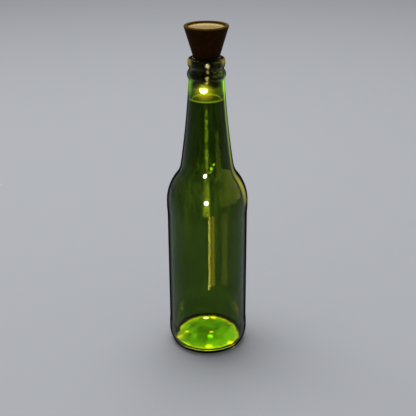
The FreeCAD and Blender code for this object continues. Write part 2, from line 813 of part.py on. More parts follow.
def battery():
    """Short rechargeable cell that stands on the shaft's web, with a welded tab on each end."""
    outline = [
        ("0", "web_top"),
        ("battery_radius", "web_top"),
        ("battery_radius", "battery_top - battery_shoulder"),
        ("battery_radius - battery_shoulder", "battery_top"),
        ("battery_nub_radius", "battery_top"),
        ("battery_nub_radius", "battery_top + battery_nub_height"),
        ("0", "battery_top + battery_nub_height"),
    ]
    subpart(turned_body("cell_can", outline), "battery_cell")
    seat = "battery_top + battery_nub_height"
    top = block("top_tab", "tab_width", "tab_width", "tab_thickness", up=seat)

    under = "web_top - tab_thickness"
    pin_top = "switch_top + pin_length"
    reach = "switch_place + tab_width / 2"
    foot = block("foot_tab", reach, "tab_width / 2", "tab_thickness", "switch_place / 2", "0", under)
    room = cylinder("foot_room", "web_bore - plug_fit", "tab_thickness", up=under)
    tail = block("foot_tail", "tab_thickness", "pin_width", "%s - (%s)" % (under, pin_top),
                 "switch_place", "0", pin_top)
    bottom = joined("foot_strip", [shared("foot_trimmed", [foot, room]), tail])
    subpart(side_by_side("tabs", [top, bottom]), "battery_tabs")


def wiring():
    """Insulated wires from the board: two to the lamp, one to the switch, one to the cell, two up."""
    down_the_bore = [
        ("wire_pad_place", "board_base"),
        ("wire_pad_place", "wire_entry + wire_drop"),
        ("wire_ring", "wire_entry - wire_bend"),
    ]
    level = "lead_top - wire_radius"
    route = down_the_bore + [("wire_ring", level), ("lead_reach", level)]
    left = bent_wire("lamp_wire_left", "lead_azimuth", route)
    right = bent_wire("lamp_wire_right", "-lead_azimuth", route)
    subpart(cut("lamp_pair", side_by_side("wire_pair", [left, right]), [doc.lamp_legs]), "lamp_wires")

    level = "switch_top + pin_length - wire_radius"
    route = down_the_bore + [("wire_ring", level), ("pin_reach", level)]
    wire = bent_wire("switch_wire_whole", "pin_azimuth", route)
    subpart(cut("switch_lead", wire, [doc.switch_pins]), "switch_wire")

    level = "battery_top + battery_nub_height + tab_thickness + wire_radius"
    route = [
        ("wire_pad_place", "board_base"),
        ("wire_pad_place", "wire_entry + wire_bend"),
        ("wire_pad_place / 2", level),
        ("0", level),
    ]
    subpart(bent_wire("battery_lead", "90", route), "battery_wire")

    links = []
    for i, side in enumerate((-1, 1), 1):
        along = "%d * panel_wire_place" % side
        links.append(cylinder("panel_link_%d" % i, "wire_radius", "backing_base - board_top",
                              "0", along, "board_top"))
    subpart(side_by_side("panel_pair", links), "panel_wires")


def check_and_write():
    """Stops on a failed feature or a bad solid, then writes one file for each sub-part."""
    doc.recompute()
    failed = [item.Name for item in doc.Objects if {"Invalid", "Error"} & set(item.State)]
    if failed:
        raise RuntimeError("failed features: " + ", ".join(failed))
    for piece in subparts:
        shape = piece.Shape
        if shape.isNull() or not shape.isValid() or not shape.Solids:
            raise RuntimeError("bad solid: " + piece.Label)
    os.makedirs("parts", exist_ok=True)
    for piece in subparts:
        piece.Shape.exportStep("parts/%s.step" % piece.Label)
        print("%-18s %2d solid(s) %10.1f mm3" % (piece.Label, len(piece.Shape.Solids), piece.Shape.Volume))


fill_sheets()
bottle()
stopper_shell()
solar_window()
solar_cells()
solar_backing()
panel_gasket()
circuit_board()
board_screws()
controller_chip()
inductor()
capacitor()
plug_shaft()
seal_sleeve()
end_cap()
lamp()
slide_switch()
battery()
wiring()
check_and_write()
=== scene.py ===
"""Looks of the cork bottle light: green bottle glass, the moulded cork stopper with its lit lamp, and
the studio."""

import math

import bpy
from mathutils import Matrix, Vector


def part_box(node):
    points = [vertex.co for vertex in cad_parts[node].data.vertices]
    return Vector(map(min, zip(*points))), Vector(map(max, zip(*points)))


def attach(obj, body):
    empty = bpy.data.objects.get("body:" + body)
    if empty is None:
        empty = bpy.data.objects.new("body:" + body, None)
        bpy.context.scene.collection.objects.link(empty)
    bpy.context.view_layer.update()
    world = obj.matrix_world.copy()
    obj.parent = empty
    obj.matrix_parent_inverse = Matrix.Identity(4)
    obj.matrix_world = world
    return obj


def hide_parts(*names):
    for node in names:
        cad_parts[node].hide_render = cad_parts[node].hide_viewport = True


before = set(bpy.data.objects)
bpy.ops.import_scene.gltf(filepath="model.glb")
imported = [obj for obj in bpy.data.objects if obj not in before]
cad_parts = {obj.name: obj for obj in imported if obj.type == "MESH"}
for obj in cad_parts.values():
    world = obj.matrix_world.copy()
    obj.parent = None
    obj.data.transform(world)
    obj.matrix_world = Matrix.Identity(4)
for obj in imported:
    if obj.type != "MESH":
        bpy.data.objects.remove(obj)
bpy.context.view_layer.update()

MM = 0.001

# Heights and radii in millimetres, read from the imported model
BOTTLE_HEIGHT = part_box("bottle")[1].z / MM
BODY_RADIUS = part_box("bottle")[1].x / MM
RIM_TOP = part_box("stopper_shell")[1].z / MM
RIM_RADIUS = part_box("stopper_shell")[1].x / MM
WINDOW_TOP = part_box("solar_window")[1].z / MM
WINDOW_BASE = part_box("solar_window")[0].z / MM
WINDOW_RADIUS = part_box("solar_window")[1].x / MM
CELL_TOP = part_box("solar_cells")[1].z / MM
SHAFT_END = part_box("plug_shaft")[0].z / MM
SLEEVE_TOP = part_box("seal_sleeve")[1].z / MM
RIB_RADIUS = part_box("seal_sleeve")[1].x / MM
CAP_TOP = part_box("end_cap")[1].z / MM
LAMP_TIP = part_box("lamp_lens")[0].z / MM
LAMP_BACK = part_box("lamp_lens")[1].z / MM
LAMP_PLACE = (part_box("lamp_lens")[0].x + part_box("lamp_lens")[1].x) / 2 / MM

# Turned shapes: points nearer than this become one, and bends below this many degrees are shaded smooth
MERGE_REACH = 0.001
SMOOTH_BELOW = 35.0


def pick_only(obj):
    """Makes an object the only one selected and active."""
    bpy.ops.object.select_all(action="DESELECT")
    obj.select_set(True)
    bpy.context.view_layer.objects.active = obj


def arc(start, end, radius, turn, count):
    """Points of the short arc after start, up to end, that turns left for turn 1 and right for turn -1."""
    start, end = Vector(start), Vector(end)
    chord = end - start
    left = Vector((-chord.y, chord.x)).normalized()
    centre = (start + end) / 2 + left * turn * math.sqrt(radius**2 - chord.length_squared / 4)
    first = math.atan2(start.y - centre.y, start.x - centre.x)
    last = math.atan2(end.y - centre.y, end.x - centre.x)
    sweep = (last - first) * turn % math.tau * turn
    angles = [first + sweep * (i + 1) / count for i in range(count)]
    return [(centre.x + radius * math.cos(a), centre.y + radius * math.sin(a)) for a in angles]


def bend(rise, reach):
    """Radius of the arc that starts straight along its reach and has left it by a rise at the end."""
    return (rise**2 + reach**2) / (2 * rise)


def line(start, end, step):
    """Points after start, up to end, at most a step apart."""
    start, end = Vector(start), Vector(end)
    count = max(1, math.ceil((end - start).length / step))
    return [tuple(start.lerp(end, (i + 1) / count)) for i in range(count)]


def soften(points, corner, reach, count=6):
    """Rounds the outline at a corner with a curve that leaves and meets it at the reach."""
    corner = Vector(corner)
    away = [(Vector(point) - corner).length for point in points]
    before = after = away.index(min(away))
    while away[before] < reach:
        before -= 1
    while away[after] < reach:
        after += 1
    start, end = Vector(points[before]), Vector(points[after])
    curve = []
    for i in range(1, count):
        t = i / count
        curve.append(tuple(start * (1 - t) ** 2 + corner * 2 * t * (1 - t) + end * t**2))
    return points[:before + 1] + curve + points[after:]


def lathe(name, outline, steps, across=0.0):
    """Draws an outline of (radius, height) points with extrusions and spins it about an upright axis."""
    bpy.ops.object.select_all(action="DESELECT")
    bpy.ops.mesh.primitive_plane_add(size=MM, location=(0, 0, 0))
    piece = bpy.context.object
    piece.name = name
    bpy.ops.object.mode_set(mode="EDIT")
    bpy.ops.mesh.merge(type="CENTER")
    places = [Vector(((across + out) * MM, 0, up * MM)) for out, up in outline]
    bpy.ops.transform.translate(value=places[0])
    for before, after in zip(places, places[1:]):
        bpy.ops.mesh.extrude_vertices_move(TRANSFORM_OT_translate={"value": after - before})
    bpy.ops.mesh.select_all(action="SELECT")
    bpy.ops.mesh.spin(steps=steps, angle=math.tau, center=(across * MM, 0, 0), axis=(0, 0, 1))
    bpy.ops.mesh.select_all(action="SELECT")
    bpy.ops.mesh.remove_doubles(threshold=MERGE_REACH * MM)
    bpy.ops.mesh.normals_make_consistent(inside=False)
    bpy.ops.object.mode_set(mode="OBJECT")
    pick_only(piece)
    bpy.ops.object.shade_smooth_by_angle(angle=math.radians(SMOOTH_BELOW))
    return piece


def nudge(piece, chosen, shift):
    """Moves the vertices that a test picks by a shift in millimetres, in edit mode."""
    pick_only(piece)
    for vertex in piece.data.vertices:
        vertex.select = chosen(vertex.co / MM)
    bpy.ops.object.mode_set(mode="EDIT")
    bpy.ops.transform.translate(value=Vector(shift) * MM)
    bpy.ops.object.mode_set(mode="OBJECT")


def linear(colour):
    """An sRGB hex colour as linear red, green, blue and alpha."""
    shares = [int(colour[i:i + 2], 16) / 255 for i in (1, 3, 5)]
    return [c / 12.92 if c <= 0.04045 else ((c + 0.055) / 1.055) ** 2.4 for c in shares] + [1.0]


def new_material(name):
    """An empty node material with its tree and surface shader."""
    made = bpy.data.materials.new(name)
    made.use_nodes = True
    return made, made.node_tree, made.node_tree.nodes["Principled BSDF"]


def fill(tree, node, inputs):
    """Gives a node its inputs: a value, a socket, or another node's first output."""
    for name, value in inputs.items():
        if isinstance(value, bpy.types.Node):
            value = value.outputs[0]
        if isinstance(value, bpy.types.NodeSocket):
            tree.links.new(value, node.inputs[name])
        else:
            node.inputs[name].default_value = value


def add(tree, kind, inputs=(), stops=(), **settings):
    """Adds a node with its settings, its inputs and the stops of its colour ramp."""
    node = tree.nodes.new(kind)
    for name, value in settings.items():
        setattr(node, name, value)
    fill(tree, node, dict(inputs))
    for i, (place, colour) in enumerate(stops):
        spot = node.color_ramp.elements[i] if i < 2 else node.color_ramp.elements.new(1.0)
        spot.position = place
        spot.color = linear(colour)
    return node


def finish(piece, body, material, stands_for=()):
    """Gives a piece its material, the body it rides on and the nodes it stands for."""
    piece.data.materials.clear()
    piece.data.materials.append(material)
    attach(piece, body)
    if stands_for:
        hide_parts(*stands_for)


# The bottle: its shape in millimetres, from the bearing ring up to the lip

GLASS_WALL = 2.5
BEARING_OUTER = 26.9
BEARING_INNER = 24.6
PUSH_UP = 3.2
FLOOR_HEIGHT = 5.8
FLOOR_EDGE = (25.6, 2.8)
HEEL_HEIGHT = 11.0
INNER_HEEL_HEIGHT = 9.0
PANEL_MARGIN = 5.5
PANEL_SLOPE = 3.0
PANEL_RECESS = 0.35
SHOULDER_HEIGHT = 24.0
NECK_FOOT_RADIUS = 20.4
NECK_LENGTH = 69.9
NECK_SWEEP = 710.0
NECK_TOP_RADIUS = 12.85
NECK_WALL = 3.0
BEAD_HEIGHT = 6.5
BEAD_PROUD = 1.3
GROOVE_HEIGHT = 1.5
GROOVE_DEPTH = 0.4
LIP_SLOPE = 1.5
LIP_HEIGHT = 5.6
LIP_PROUD = 0.55
LIP_ROUND = 2.4
MOUTH_ROUND = 1.6
BORE_RADIUS = 8.5
THROAT_DEPTH = 13.0
FLARE_HEIGHT = 7.0

# Heights that follow, from the lip down
LIP_BASE = BOTTLE_HEIGHT - LIP_HEIGHT
GROOVE_TOP = LIP_BASE - LIP_SLOPE
BEAD_TOP = GROOVE_TOP - GROOVE_HEIGHT
NECK_TOP = BEAD_TOP - BEAD_HEIGHT
NECK_FOOT = NECK_TOP - NECK_LENGTH
SHOULDER_BASE = NECK_FOOT - SHOULDER_HEIGHT

# How far from each corner its rounding starts
BEARING_EASE = 0.7
PANEL_EASE = 1.4
NECK_FOOT_EASE = 4.5
BEAD_EASE = 0.9
GROOVE_LOW_EASE = 0.6
GROOVE_HIGH_EASE = 0.5
LIP_EASE = 0.7
THROAT_EASE = 1.5
FLARE_EASE = 3.0
INNER_FOOT_EASE = 7.0
FLOOR_EASE = 2.0

# Steps along straight stretches, and around the bottle
GROOVE_STEP = 0.3
EDGE_STEP = 0.5
RING_STEP = 0.6
THROAT_STEP = 1.0
WALL_STEP = 2.0
BOTTLE_STEPS = 160


def outer_side():
    """From the middle of the push-up over the bearing ring and up the outside to the lip."""
    panel_face = BODY_RADIUS - PANEL_RECESS
    panel_low = HEEL_HEIGHT + PANEL_MARGIN
    panel_high = SHOULDER_BASE - PANEL_MARGIN
    groove_radius = NECK_TOP_RADIUS - GROOVE_DEPTH
    lip_radius = NECK_TOP_RADIUS + LIP_PROUD
    neck_foot = (NECK_FOOT_RADIUS, NECK_FOOT)
    neck_top = (NECK_TOP_RADIUS, NECK_TOP)
    heel_bend = bend(BODY_RADIUS - BEARING_OUTER, HEEL_HEIGHT)
    shoulder_bend = bend(BODY_RADIUS - NECK_FOOT_RADIUS, SHOULDER_HEIGHT)
    side = [(0, PUSH_UP)]
    side += arc(side[-1], (BEARING_INNER, 0), bend(PUSH_UP, BEARING_INNER), -1, 14)
    side += line(side[-1], (BEARING_OUTER, 0), RING_STEP)
    side += arc(side[-1], (BODY_RADIUS, HEEL_HEIGHT), heel_bend, 1, 10)
    side += line(side[-1], (BODY_RADIUS, panel_low), WALL_STEP)
    side += line(side[-1], (panel_face, panel_low + PANEL_SLOPE), EDGE_STEP)
    side += line(side[-1], (panel_face, panel_high - PANEL_SLOPE), WALL_STEP)
    side += line(side[-1], (BODY_RADIUS, panel_high), EDGE_STEP)
    side += line(side[-1], (BODY_RADIUS, SHOULDER_BASE), WALL_STEP)
    side += arc(side[-1], neck_foot, shoulder_bend, 1, 22)
    side += arc(side[-1], neck_top, NECK_SWEEP, -1, 36)
    side += arc(side[-1], (groove_radius, BEAD_TOP), bend(BEAD_PROUD, BEAD_HEIGHT / 2), 1, 14)
    side += line(side[-1], (groove_radius, GROOVE_TOP), GROOVE_STEP)
    side += line(side[-1], (lip_radius, LIP_BASE), GROOVE_STEP)
    side += line(side[-1], (lip_radius, BOTTLE_HEIGHT - LIP_ROUND), EDGE_STEP)
    side += arc(side[-1], (lip_radius - LIP_ROUND, BOTTLE_HEIGHT), LIP_ROUND, 1, 10)
    for corner, reach, count in (
        ((panel_face, panel_low + PANEL_SLOPE), PANEL_EASE, 6),
        ((BODY_RADIUS, panel_low), PANEL_EASE, 6),
        ((panel_face, panel_high - PANEL_SLOPE), PANEL_EASE, 6),
        ((BODY_RADIUS, panel_high), PANEL_EASE, 6),
        (neck_foot, NECK_FOOT_EASE, 10),
        (neck_top, BEAD_EASE, 6),
        ((groove_radius, BEAD_TOP), GROOVE_LOW_EASE, 6),
        ((groove_radius, GROOVE_TOP), GROOVE_HIGH_EASE, 6),
        ((lip_radius, LIP_BASE), LIP_EASE, 6),
        ((BEARING_INNER, 0), BEARING_EASE, 6),
        ((BEARING_OUTER, 0), BEARING_EASE, 6),
    ):
        side = soften(side, corner, reach, count)
    return side


def inner_side(lip_end):
    """From the lip through the bore and down the inside to the middle of the floor."""
    throat_base = BOTTLE_HEIGHT - THROAT_DEPTH
    flare_place = (NECK_TOP_RADIUS - NECK_WALL, throat_base - FLARE_HEIGHT)
    inner_foot = (NECK_FOOT_RADIUS - NECK_WALL, NECK_FOOT)
    inner_radius = BODY_RADIUS - GLASS_WALL
    shoulder_bend = bend(inner_radius - inner_foot[0], SHOULDER_HEIGHT)
    heel_bend = bend(inner_radius - FLOOR_EDGE[0], INNER_HEEL_HEIGHT - FLOOR_EDGE[1])
    floor_bend = bend(FLOOR_HEIGHT - FLOOR_EDGE[1], FLOOR_EDGE[0])
    side = line(lip_end, (BORE_RADIUS + MOUTH_ROUND, BOTTLE_HEIGHT), EDGE_STEP)
    side += arc(side[-1], (BORE_RADIUS, BOTTLE_HEIGHT - MOUTH_ROUND), MOUTH_ROUND, 1, 8)
    side += line(side[-1], (BORE_RADIUS, throat_base), THROAT_STEP)
    side += line(side[-1], flare_place, THROAT_STEP)
    side += arc(side[-1], inner_foot, NECK_SWEEP, 1, 33)
    side += arc(side[-1], (inner_radius, SHOULDER_BASE), shoulder_bend, -1, 22)
    side += line(side[-1], (inner_radius, INNER_HEEL_HEIGHT), WALL_STEP)
    side += arc(side[-1], FLOOR_EDGE, heel_bend, -1, 12)
    side += arc(side[-1], (0, FLOOR_HEIGHT), floor_bend, 1, 14)
    side = soften(side, (BORE_RADIUS, throat_base), THROAT_EASE)
    side = soften(side, flare_place, FLARE_EASE)
    side = soften(side, inner_foot, INNER_FOOT_EASE, 10)
    side = soften(side, FLOOR_EDGE, FLOOR_EASE)
    return side


# The glass: what the mould and the blowing left on it, in millimetres and degrees

SEAM_AZIMUTH = -20.25
SEAM_PROUD = 0.12
# Half width in degrees of the painted light along the seam
SEAM_SPREAD = 9.0
SEAM_LOW = 4.0
SEAM_HIGH = 212.0
KNURL_DEPTH = 0.25
RING_FLATNESS = 0.02
PEEL_SIZE = 9.0
PEEL_DEPTH = 0.1
# Waves of the inner wall: they start above the floor, end below the bore, and grow and fade over a stretch
WAVE_DEPTH = 0.6
WAVE_LENGTH = 20.0
WAVE_LOW = 5.0
WAVE_GROWTH = 8.0
WAVE_HIGH = 203.0
WAVE_FADE = 10.0
# How deep below the outside the inner wall starts, how far above the push-up, and how deep the outside goes
INNER_SKIN = 1.2
INNER_ABOVE = 0.3
OUTER_SKIN = 0.5

# The lamp's light, painted into the glass as glow: heights and sizes in millimetres
GLASS_GLOW = 4.0
BASE_GLOW = 6000.0
BASE_GLOW_RADIUS = 26.3
BASE_GLOW_TOP = 6.0
BASE_GLOW_FADE = 2.5
BASE_GLOW_SPAN = 20.0
SHARE_AHEAD = 1.05
SHARE_BEHIND = 0.6
FLECK_SIZE = 6.0
CAST_LOW = 198.3
CAST_HIGH = 208.6
STREAK_WIDTH = 2.0
STREAK_LENGTH = 90.0
STREAK_LOW = 45.0
STREAK_HIGH = 115.0
# Azimuth and half width in degrees of the painted streak of light up the front of the wall
FRONT_STREAK_AZIMUTH = -91.0
FRONT_STREAK_SPREAD = 6.5
RIPPLE_SIZE = 2.5
UPRIGHT_LOW = 118.0
UPRIGHT_HIGH = 218.0
EDGE_GLOW_LOW = 200.0
EDGE_GLOW_HIGH = 230.0
RAGGED_SIZE = 1.6
RAGGED_REACH = 1.2

# Absorption per metre, the heel's painted dark corner, how square to the eye the wall turns painted dark and
# clear, and the least that a steep view counts as level
GLASS_DENSITY = 1200.0
HEEL_DARK = 3.5
HEEL_FADE = 1.0
DARK_BELOW = 0.26
CLEAR_ABOVE = 0.44
LEAST_RUN = 0.1

# Painted spots of light, standing in for glints and for the lamp's beam gathered by thick or uneven glass:
# place, reach, colour and gain
SPARKS = [
    # The halo of the lamp on the neck, in front and behind
    ((LAMP_PLACE + 0.5, -9.6, 208.4), 4.8, "#F8E890", 0.8),
    ((LAMP_PLACE + 0.9, -9.6, 206.4), 9.2, "#90801C", 0.42),
    ((LAMP_PLACE + 1.0, 9.6, 202.4), 6.0, "#B09430", 0.7),
    # Glints in front of the plug's ribs
    ((0.5, -13.4, 225.2), 2.1, "#F0E4A0", 0.2),
    ((0.9, -12.6, 221.0), 1.8, "#D8C870", 0.12),
    ((0.6, -13.9, 217.1), 1.9, "#D8C870", 0.16),
    ((0.0, -13.0, 213.3), 1.8, "#E0D060", 0.16),
    # Painted white and green glints down the shoulder
    ((-1.5, -20.0, 146.4), 1.8, "#FFFFE0", 2.0),
    ((-0.6, -29.2, 128.9), 2.2, "#FFFFE0", 2.0),
    ((3.2, -20.0, 151.8), 2.2, "#8CC800", 0.8),
    ((4.6, -19.4, 154.6), 2.2, "#8CC800", 0.8),
    ((2.4, -20.6, 149.6), 1.8, "#A0C800", 0.6),
    ((8.0, -27.0, 138.5), 2.0, "#A8E000", 0.6),
    # Painted patches of light in the base, white to amber
    ((-2.1, 20.5, 3.9), 3.0, "#FFF0C0", 6.0),
    ((4.5, 22.0, 3.6), 4.5, "#FFB800", 1.6),
    ((2.6, -4.0, 5.7), 2.6, "#FFB000", 1.6),
    ((1.8, -11.0, 5.2), 3.2, "#B0FF20", 1.2),
    ((-17.5, -3.0, 4.3), 3.8, "#FF9000", 1.4),
    ((-21.5, -6.0, 3.6), 3.6, "#FF9000", 1.2),
    ((17.5, -16.5, 3.2), 4.4, "#FFC800", 3.0),
    ((0.6, -21.0, 3.6), 4.0, "#FFE000", 1.6),
]


def base_glow(tree, place, height, radius):
    """Painted glow in the thick glass of the base, standing in for the lamp's beam that it gathers: lime in
    the middle, amber where the heel turns up, and brighter in front, where the leaning lamp points."""
    rings = add(tree, "ShaderNodeMapRange", {"Value": radius, "From Max": BASE_GLOW_RADIUS * MM})
    tone = add(tree, "ShaderNodeValToRGB", {0: rings}, [
        (0.0, "#6C800E"), (0.6, "#667A0E"), (0.82, "#76820E"),
        (0.91, "#C8A812"), (0.95, "#B08C10"), (1.0, "#000000"),
    ])
    # The painted glow is broken into flecks a few millimetres across, as wavy glass gathers the beam
    wave = add(tree, "ShaderNodeTexNoise", {
        "Vector": place, "Scale": 1 / (FLECK_SIZE * MM), "Detail": 2.0, "Distortion": 1.0,
    })
    fleck = add(tree, "ShaderNodeMapRange", {
        0: wave, "From Min": 0.35, "From Max": 0.7, "To Min": 0.5, "To Max": 1.5,
    })
    low = add(tree, "ShaderNodeMapRange", {
        "Value": height, "From Min": BASE_GLOW_TOP * MM, "From Max": (BASE_GLOW_TOP - BASE_GLOW_FADE) * MM,
    }, interpolation_type="SMOOTHSTEP")
    share = add(tree, "ShaderNodeMath", {0: low, 1: fleck}, operation="MULTIPLY")
    behind = add(tree, "ShaderNodeSeparateXYZ", {0: place}).outputs["Y"]
    ahead = add(tree, "ShaderNodeMapRange", {
        "Value": behind, "From Min": -BASE_GLOW_SPAN * MM, "From Max": BASE_GLOW_SPAN * MM,
        "To Min": SHARE_AHEAD * BASE_GLOW, "To Max": SHARE_BEHIND * BASE_GLOW,
    })
    share = add(tree, "ShaderNodeMath", {0: share, 1: ahead}, operation="MULTIPLY")
    return add(tree, "ShaderNodeEmission", {"Color": tone, "Strength": share})


def neck_glow(tree, height):
    """Painted glow on the inside of the neck where the beam first meets it, brightest along its lower edge.
    """
    span = add(tree, "ShaderNodeMapRange", {
        "Value": height, "From Min": CAST_LOW * MM, "From Max": CAST_HIGH * MM,
    })
    return add(tree, "ShaderNodeValToRGB", {0: span}, [
        (0.0, "#000000"), (0.05, "#DCC014"), (0.12, "#8C7808"), (0.2, "#443C06"),
        (0.6, "#504608"), (0.92, "#5C4E0A"), (1.0, "#000000"),
    ])


def wall_glow(tree, place, height):
    """Painted light: faint upright streaks of glow where the blown wall is uneven, fewer towards the base."""
    stretch = add(tree, "ShaderNodeMapping", {
        "Vector": place, "Scale": [1 / (size * MM) for size in (STREAK_WIDTH, STREAK_WIDTH, STREAK_LENGTH)],
    })
    uneven = add(tree, "ShaderNodeTexNoise", {"Vector": stretch, "Scale": 1.0, "Detail": 1.0})
    tone = add(tree, "ShaderNodeValToRGB", {0: uneven}, [
        (0.45, "#000000"), (0.62, "#1B1902"), (0.78, "#343206"),
    ])
    share = add(tree, "ShaderNodeMapRange", {
        "Value": height, "From Min": STREAK_LOW * MM, "From Max": STREAK_HIGH * MM, "To Min": 0.15,
    }, interpolation_type="SMOOTHSTEP")
    return add(tree, "ShaderNodeVectorMath", {0: tone, "Scale": share}, operation="SCALE")


def upright_glow(tree, place, height, azimuth, spread, stops):
    """A painted line of light up the wall at an azimuth, with its half width in degrees and its colours by
    height.
    """
    turn = add(tree, "ShaderNodeVectorRotate", {
        "Vector": place, "Angle": math.radians(-azimuth),
    }, rotation_type="Z_AXIS")
    ahead = add(tree, "ShaderNodeSeparateXYZ", {0: turn})
    aside = add(tree, "ShaderNodeMath", {0: ahead.outputs["Y"], 1: ahead.outputs["X"]}, operation="ARCTAN2")
    aside = add(tree, "ShaderNodeMath", {0: aside}, operation="ABSOLUTE")
    near = add(tree, "ShaderNodeMapRange", {
        "Value": aside, "From Min": math.radians(spread), "From Max": math.radians(spread / 4),
    }, interpolation_type="SMOOTHSTEP")
    span = add(tree, "ShaderNodeMapRange", {
        "Value": height, "From Min": UPRIGHT_LOW * MM, "From Max": UPRIGHT_HIGH * MM,
    })
    tone = add(tree, "ShaderNodeValToRGB", {0: span}, stops)
    return add(tree, "ShaderNodeVectorMath", {0: tone, "Scale": near}, operation="SCALE")


def edge_glow(tree, height, edge):
    """Painted glow where the wall is seen edge on, for light led along the wall: lime beside the plug, tan at
    the lip.
    """
    span = add(tree, "ShaderNodeMapRange", {
        "Value": height, "From Min": EDGE_GLOW_LOW * MM, "From Max": EDGE_GLOW_HIGH * MM,
    })
    tone = add(tree, "ShaderNodeValToRGB", {0: span}, [
        (0.0, "#000000"), (0.1, "#101C02"), (0.2, "#284002"), (0.42, "#304A02"),
        (0.5, "#0C1802"), (0.78, "#0C0C02"), (0.9, "#4A3E10"), (1.0, "#5A4C14"),
    ])
    share = add(tree, "ShaderNodeMapRange", {
        "Value": edge, "From Min": 0.3, "From Max": 0.6,
    }, interpolation_type="SMOOTHSTEP")
    normal = add(tree, "ShaderNodeNewGeometry").outputs["Normal"]
    flat = add(tree, "ShaderNodeSeparateXYZ", {0: normal}).outputs["Z"]
    side = add(tree, "ShaderNodeMapRange", {"Value": flat, "From Min": 0.9, "From Max": 0.4})
    share = add(tree, "ShaderNodeMath", {0: share, 1: side}, operation="MULTIPLY")
    return add(tree, "ShaderNodeVectorMath", {0: tone, "Scale": share}, operation="SCALE")


def outer_glow(tree, place, height, edge):
    """Painted light on the outside: a line of glow along the mould seam, a painted streak up the front of the
    wall, and glow at the edges.
    """
    # Painted light: a line of glow along the mould seam
    seam = upright_glow(tree, place, height, SEAM_AZIMUTH, SEAM_SPREAD, [
        (0.0, "#000000"), (0.06, "#34300A"), (0.18, "#4E4A10"), (0.28, "#2C3004"),
        (0.45, "#303804"), (0.8, "#3A4C02"), (0.93, "#4C7402"), (1.0, "#000000"),
    ])
    # Painted light: a streak of glow up the front of the wall, broken up by ripples
    front_streak = upright_glow(tree, place, height, FRONT_STREAK_AZIMUTH, FRONT_STREAK_SPREAD, [
        (0.0, "#000000"), (0.02, "#404A04"), (0.22, "#303C04"), (0.27, "#101802"),
        (0.38, "#101802"), (0.42, "#283402"), (0.7, "#324002"), (0.8, "#000000"),
    ])
    ripple = add(tree, "ShaderNodeTexNoise", {
        "Vector": place, "Scale": 1 / (RIPPLE_SIZE * MM), "Detail": 2.0, "Distortion": 1.0,
    })
    ripple = add(tree, "ShaderNodeMapRange", {
        0: ripple, "From Min": 0.35, "From Max": 0.65, "To Min": 0.1, "To Max": 1.3,
    })
    front_streak = add(tree, "ShaderNodeVectorMath", {0: front_streak, "Scale": ripple}, operation="SCALE")
    outer = add(tree, "ShaderNodeVectorMath", {0: seam, 1: front_streak}, operation="ADD")
    return add(tree, "ShaderNodeVectorMath", {0: outer, 1: edge_glow(tree, height, edge)}, operation="ADD")


def add_sparks(tree, place, glow):
    """Adds the painted spots of light, with ragged edges, to a glow."""
    ragged = add(tree, "ShaderNodeTexNoise", {
        "Vector": place, "Scale": 1 / (RAGGED_SIZE * MM), "Detail": 1.0,
    }).outputs["Color"]
    ragged = add(tree, "ShaderNodeVectorMath", {
        0: ragged, 1: [2 * RAGGED_REACH * MM] * 3, 2: [-RAGGED_REACH * MM] * 3,
    }, operation="MULTIPLY_ADD")
    ragged = add(tree, "ShaderNodeVectorMath", {0: place, 1: ragged}, operation="ADD")
    for spot, reach, colour, gain in SPARKS:
        centre = [c * MM for c in spot]
        away = add(tree, "ShaderNodeVectorMath", {0: ragged, 1: centre}, operation="DISTANCE")
        heat = add(tree, "ShaderNodeMapRange", {
            "Value": away.outputs["Value"], "From Min": reach * MM, "From Max": 0.0, "To Max": gain,
        }, interpolation_type="SMOOTHERSTEP")
        spark = add(tree, "ShaderNodeVectorMath", {
            0: linear(colour)[:3], "Scale": heat,
        }, operation="SCALE")
        glow = add(tree, "ShaderNodeVectorMath", {0: glow, 1: spark}, operation="ADD")
    return glow


def clear_share(tree, height, radius, inside, edge):
    """How clear the glass is, with painted shade: seen edge on, the upright wall is painted opaque and dark,
    as glass so thick lets no light through, however high the eye is, and so is the heel's corner, the
    thickest of all."""
    upward = add(tree, "ShaderNodeCombineXYZ", {"Z": 1.0})
    rise = add(tree, "ShaderNodeLayerWeight", {"Blend": 0.5, "Normal": upward}).outputs["Facing"]
    rise = add(tree, "ShaderNodeMath", {0: 1.0, 1: rise}, operation="SUBTRACT")
    run = add(tree, "ShaderNodeMath", {0: rise, 1: rise}, operation="MULTIPLY")
    run = add(tree, "ShaderNodeMath", {0: 1.0, 1: run}, operation="SUBTRACT")
    run = add(tree, "ShaderNodeMath", {0: run}, operation="SQRT")
    run = add(tree, "ShaderNodeMath", {0: run, 1: LEAST_RUN}, operation="MAXIMUM")
    face_on = add(tree, "ShaderNodeMath", {0: 1.0, 1: edge}, operation="SUBTRACT")
    face_on = add(tree, "ShaderNodeMath", {0: face_on, 1: run}, operation="DIVIDE")
    clear = add(tree, "ShaderNodeMapRange", {
        "Value": face_on, "From Min": DARK_BELOW, "From Max": CLEAR_ABOVE,
    })
    corner = add(tree, "ShaderNodeMapRange", {
        "Value": height, "From Min": HEEL_DARK * MM, "From Max": (HEEL_DARK + HEEL_FADE) * MM,
    })
    beneath = add(tree, "ShaderNodeMapRange", {
        "Value": radius, "From Min": BEARING_OUTER * MM, "From Max": BEARING_INNER * MM,
    })
    corner = add(tree, "ShaderNodeMath", {0: corner, 1: beneath}, operation="MAXIMUM")
    clear = add(tree, "ShaderNodeMath", {0: clear, 1: corner}, operation="MULTIPLY")
    return add(tree, "ShaderNodeMath", {0: clear, 1: inside}, operation="MAXIMUM")


